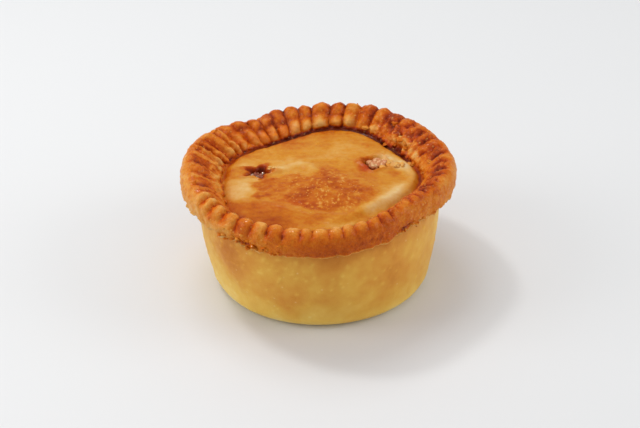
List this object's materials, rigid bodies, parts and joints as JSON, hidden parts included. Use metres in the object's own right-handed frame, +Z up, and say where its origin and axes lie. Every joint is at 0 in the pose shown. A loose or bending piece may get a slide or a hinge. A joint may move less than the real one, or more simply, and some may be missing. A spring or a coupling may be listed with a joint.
{
  "type": "pork pie",
  "caption": "Round hand-raised pork pie with a tapered case, a crimped overhanging rim and a sunken glazed lid with two small steam vents.",
  "frame": {"origin": "centre of the pie's box, on the flat base it stands on", "axes": "+Z up through the lid, -Y the side that faces the viewer, +X to the viewer's right"},
  "size_m": [0.099, 0.0968, 0.0464],
  "materials": {
    "crust": "baked hot-water-crust pastry, golden brown, egg-washed to a satin gloss on the rim and lid"
  },
  "bodies": {
    "root": {"pie": "crust"}
  },
  "joints": []
}
